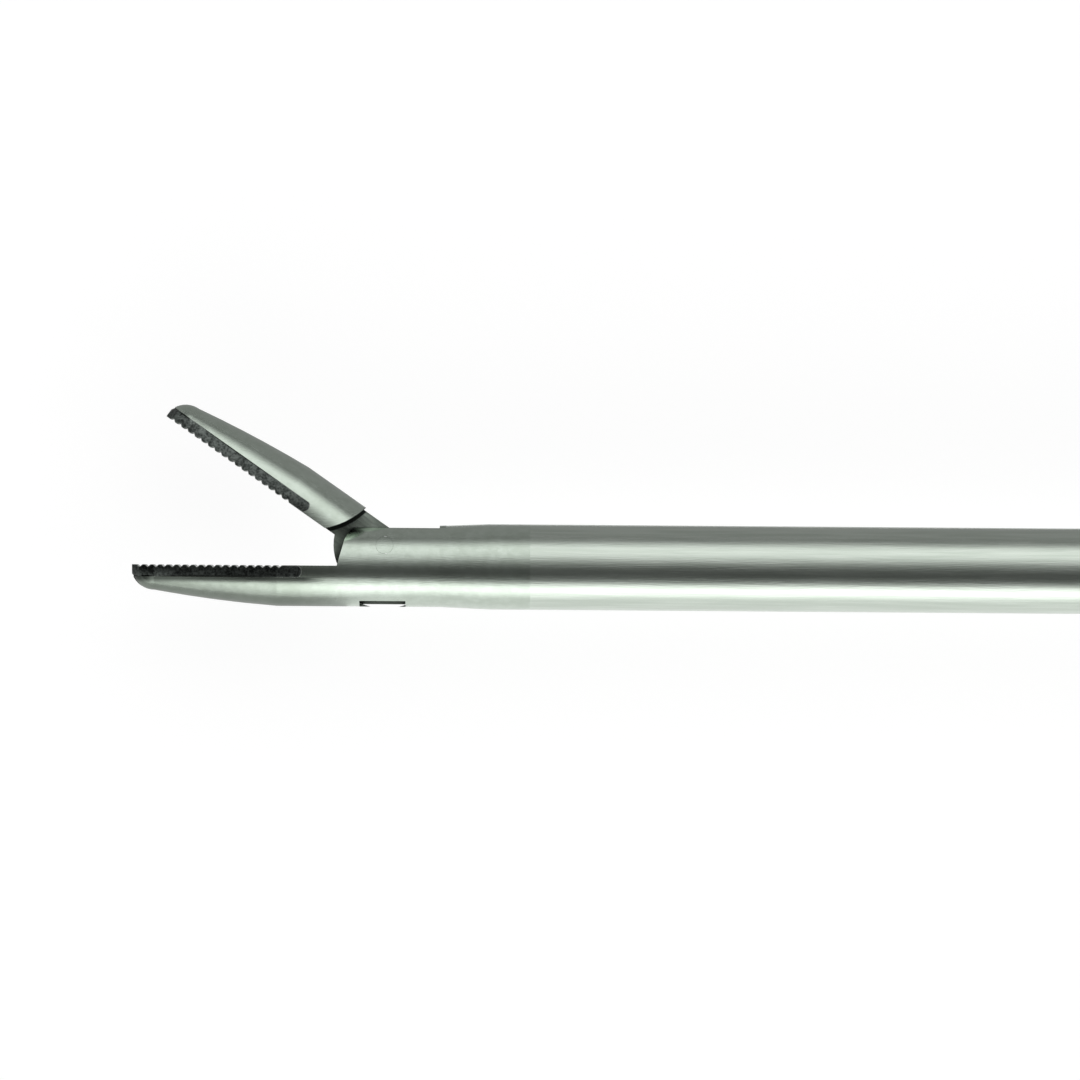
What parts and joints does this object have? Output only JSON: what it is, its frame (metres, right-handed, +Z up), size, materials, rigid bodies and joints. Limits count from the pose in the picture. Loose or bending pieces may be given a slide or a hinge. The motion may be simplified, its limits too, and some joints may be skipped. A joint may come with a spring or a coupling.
{
  "type": "surgical needle holder",
  "caption": "Laparoscopic needle holder: slim round shaft, one toothed jaw that opens on a clevis, carbide inserts, in-line lever handle with ratchet.",
  "frame": {"origin": "on the shaft's axis at the front face of the collar nut, where the working length ends", "axes": "-X along the shaft towards the jaw tip, +Y the side that the jaw opens to, +Z up as the instrument lies on its side"},
  "size_m": [0.463, 0.0496, 0.012],
  "materials": {
    "polished_steel": "polished stainless steel",
    "carbide": "ground dark carbide",
    "satin_steel": "fine satin stainless steel",
    "handle_steel": "bead-blasted stainless steel",
    "ratchet_steel": "ground stainless steel",
    "spring_steel": "drawn spring steel wire and strip",
    "seal_rubber": "moulded silicone rubber"
  },
  "bodies": {
    "frame": {"handle_body": "handle_steel", "collar_nut": "handle_steel", "shaft_ferrule": "satin_steel", "rod_seal": "seal_rubber", "outer_tube": "satin_steel", "tip_body": "polished_steel", "fixed_jaw_insert": "carbide", "jaw_pivot_pin": "polished_steel", "ratchet_rack": "ratchet_steel", "rack_pin_front": "ratchet_steel", "rack_pin_rear": "ratchet_steel", "lever_pivot_screw": "ratchet_steel", "lever_pivot_nut": "ratchet_steel", "return_spring": "spring_steel"},
    "lever": {"lever": "handle_steel", "pawl_pin": "ratchet_steel", "pawl_spring": "spring_steel"},
    "rod": {"drive_rod": "satin_steel", "rod_spool": "satin_steel", "spool_nut": "satin_steel"},
    "jaw": {"moving_jaw": "polished_steel", "moving_jaw_insert": "carbide", "drive_pin": "polished_steel"},
    "pawl": {"ratchet_pawl": "ratchet_steel"}
  },
  "joints": [
    {"name": "lever_hinge", "type": "hinge", "parent": "frame", "child": "lever", "pos_m": [0.032, -0.0054, 0], "axis": [0, 0, 1], "range_deg": [-9.5, 0], "stiffness_Nm_per_rad": 1.2, "springref_deg": 3.44},
    {"name": "rod_slide", "type": "slide", "parent": "frame", "child": "rod", "axis": [1, 0, 0], "range_m": [0, 0.0008947], "deforming": ["return_spring"]},
    {"name": "jaw_hinge", "type": "hinge", "parent": "frame", "child": "jaw", "pos_m": [-0.29523, 0.00123, 0], "axis": [0, 0, 1], "range_deg": [0, 34.7]},
    {"name": "pawl_hinge", "type": "hinge", "parent": "lever", "child": "pawl", "pos_m": [0.13232, 0.02361, 0], "axis": [0, 0, 1], "range_deg": [-24, 0]}
  ],
  "couplings": [
    {"joint": "rod_slide", "follows": "lever_hinge", "m_per_rad": -0.0053938},
    {"joint": "jaw_hinge", "follows": "lever_hinge", "ratio": -3.6514}
  ]
}
